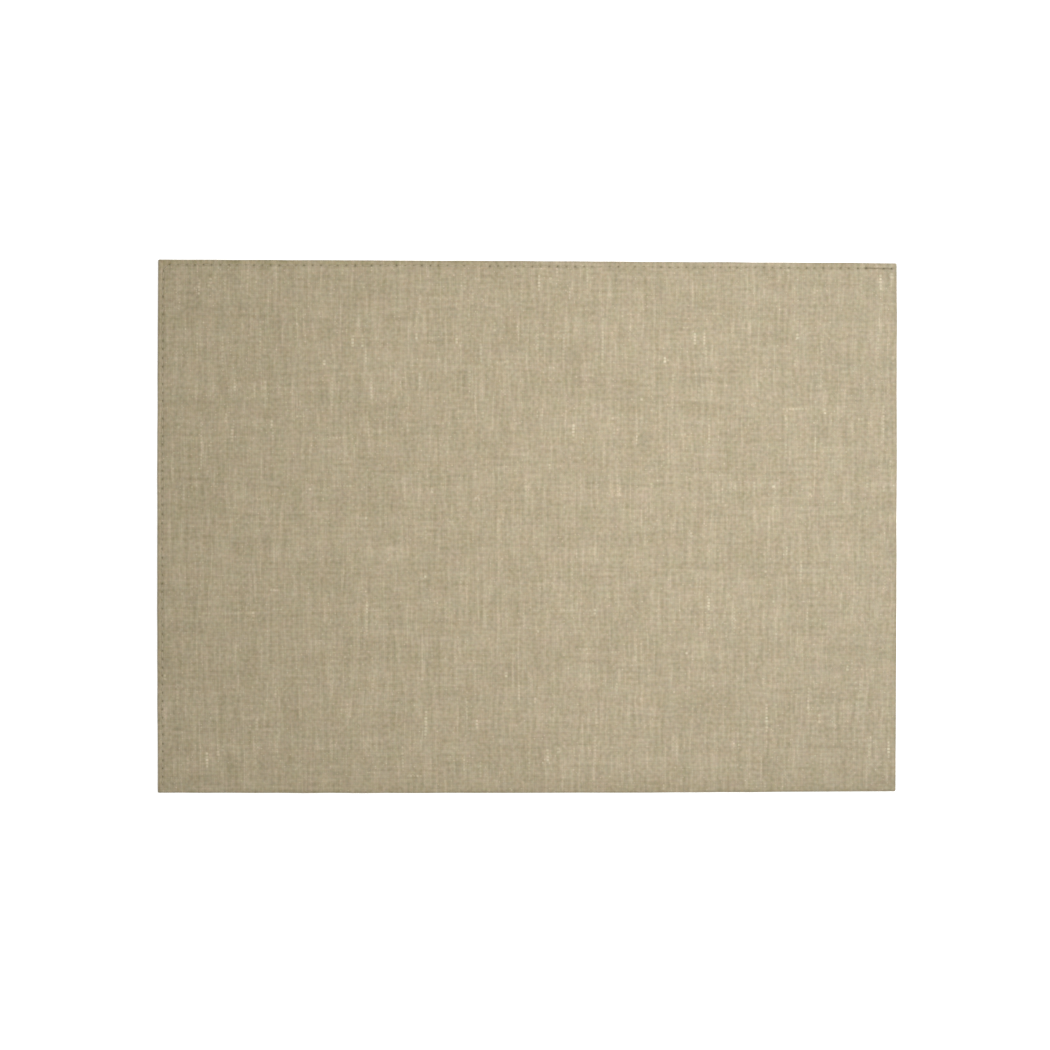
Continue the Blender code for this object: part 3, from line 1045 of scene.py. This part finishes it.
def makeSlubs():
    # Each float is a closed cushion: rings at share * (width, length) / 2 on a rounded rectangle, which is
    # cos and sin to the power of squareness, and height (1 - share^2)^1.2 above a base sunk into the face
    across, along, width, share, weftwise = slubFloats()
    reach = np.array(slubs["ringShare"])
    count, rings, sides = len(across), len(reach), slubs["sides"]
    angle = 2 * math.pi * (np.arange(sides) + 0.5) / sides
    squareX = np.sign(np.cos(angle)) * np.abs(np.cos(angle)) ** slubs["squareness"]
    squareY = np.sign(np.sin(angle)) * np.abs(np.sin(angle)) ** slubs["squareness"]
    longWays, wide = slubs["floatLength"] / 2 + 0 * width, width * slubs["breadth"]
    aside = np.where(weftwise, longWays, wide)[:, None, None] * reach[:, None] * squareX
    ahead = np.where(weftwise, wide, longWays)[:, None, None] * reach[:, None] * squareY
    bulge = (1 - np.append(0, reach) ** 2) ** 1.2
    bulge[-1] = -0.5
    tall = slubs["height"] * width * (0.6 + 0.4 * share)
    # The rings' points, and after them a pole above and one below for each float
    allAcross = np.append(across[:, None, None] + aside, np.repeat(across, 2))
    allAlong = np.append(along[:, None, None] + ahead, np.repeat(along, 2))
    lift = np.append(tall[:, None, None] * bulge[1:, None] + 0 * aside, tall[:, None] * [1.0, -0.5])
    points = toMesh(allAcross, allAlong, faceHeight(allAcross, allAlong) - slubs["sunk"] + lift)

    base = np.arange(count) * rings * sides
    quads = (sleeve(rings, sides)[None] + base[:, None, None]).reshape(-1, 4)
    top = count * rings * sides + 2 * np.arange(count)
    underside = fan(base + (rings - 1) * sides, sides, top + 1, turned=True)
    faces = [quads, fan(base, sides, top), underside]
    weaveOfPoint = weavePlace(allAcross, allAlong)
    weave = np.vstack([weaveOfPoint[face.ravel()] for face in faces])

    # A map for baking: every float has a cell of its own, with its rings laid out round the middle of it
    cells = math.ceil(math.sqrt(count))
    spread = 0.10 + 0.32 * np.arange(rings) / (rings - 1)
    local = spread[:, None, None] * np.column_stack([np.cos(angle), np.sin(angle)])
    local = np.vstack([np.tile(local.reshape(-1, 2), (count, 1)), np.zeros((2 * count, 2))])
    bake = [local[face] for face in faces]
    between = angle + math.pi / sides
    bake[2][:, 2] = np.tile(0.48 * np.column_stack([np.cos(between), np.sin(between)]), (count, 1))
    cell = np.stack(np.divmod(np.arange(count), cells)[::-1], axis=-1) + 0.5
    bake = [np.repeat(cell, len(part) // count, axis=0)[:, None] + part for part in bake]
    bake = np.vstack([part.reshape(-1, 2) for part in bake]) / cells

    def overFloats(value, ringValue):
        # value * ringValue on each ring, the value itself at the top, and 0 underneath
        onRings = value[:, None, None] * np.array(ringValue)[:, None] + 0 * aside
        return np.append(onRings, value[:, None] * [1.0, 0.0])

    lightness = overFloats(share, slubs["ringLight"])
    lie = overFloats(np.where(weftwise, -1.0, 1.0), slubs["ringLie"])
    none = 0 * lightness
    values = {"slub": lightness, "lie": lie, "needle": none, "rim": none, "band": none}
    print(f"{count} slub floats")
    return addPiece("slub_yarns", points, faces, {"weave": weave, "OFBake": bake}, values, linenCloth)


slubPiece = makeSlubs()


view = {
    "frameWidth": 652.4,  # of the face, from side to side of the picture
    "aim": (-1.30, 0.79),
    "lens": 85.0,
    "sensor": 36.0,
}
lighting = {
    "floorSize": 12.0,
    "floorColour": (0.86, 0.86, 0.86, 1.0),
    "floorGlow": 0.36,  # the floor is lit from within too, so it is white to its edges
    "sky": 0.593,
    "boxSize": 0.60,
    "boxPlace": (0.160, 0.060, 0.50),
    "boxPower": 3.64,
}


def makeFloor():
    # A plain white square under the mat
    size = lighting["floorSize"] / 2
    finish = Finish("plain floor", 0.9, 0.0)
    finish.show("Base Color", lighting["floorColour"])
    finish.show("Specular IOR Level", 0.0)
    finish.show("Emission Color", (1.0, 1.0, 1.0, 1.0))
    finish.show("Emission Strength", lighting["floorGlow"])
    mesh = bpy.data.meshes.new("floor")
    corners = [(-size, -size, 0), (size, -size, 0), (size, size, 0), (-size, size, 0)]
    mesh.from_pydata(corners, [], [(0, 1, 2, 3)])
    mesh.materials.append(finish.material)
    addObject("floor", mesh)


def makeLight():
    # An even white sky, and a soft box aimed at the mat
    world = bpy.data.worlds.new("soft white")
    world.use_nodes = True
    background = world.node_tree.nodes["Background"]
    background.inputs["Color"].default_value = (1.0, 1.0, 1.0, 1.0)
    background.inputs["Strength"].default_value = lighting["sky"]
    bpy.context.scene.world = world
    box = bpy.data.lights.new("soft box", "AREA")
    box.shape = "DISK"
    box.size = lighting["boxSize"]
    box.energy = lighting["boxPower"]
    lamp = addObject("soft box", box)
    lamp.location = lighting["boxPlace"]
    lamp.rotation_euler = (-Vector(lighting["boxPlace"])).to_track_quat("-Z", "Y").to_euler()
    lamp.visible_camera = False


def makeCamera():
    # Straight above the aim, at frame width * lens / sensor above the face
    camera = bpy.data.cameras.new("camera")
    camera.lens, camera.sensor_width = view["lens"], view["sensor"]
    holder = addObject("camera", camera)
    distance = view["frameWidth"] * view["lens"] / view["sensor"] + mat["thickness"]
    holder.location = (view["aim"][0] * millimetre, view["aim"][1] * millimetre, distance * millimetre)
    bpy.context.scene.camera = holder


makeFloor()
makeLight()
makeCamera()
bpy.context.scene.view_settings.view_transform = "Standard"
print("camera, light and floor made")

for piece in (linenPiece, stitchingPiece, slubPiece):
    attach(piece, "root")
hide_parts("linen_mat")
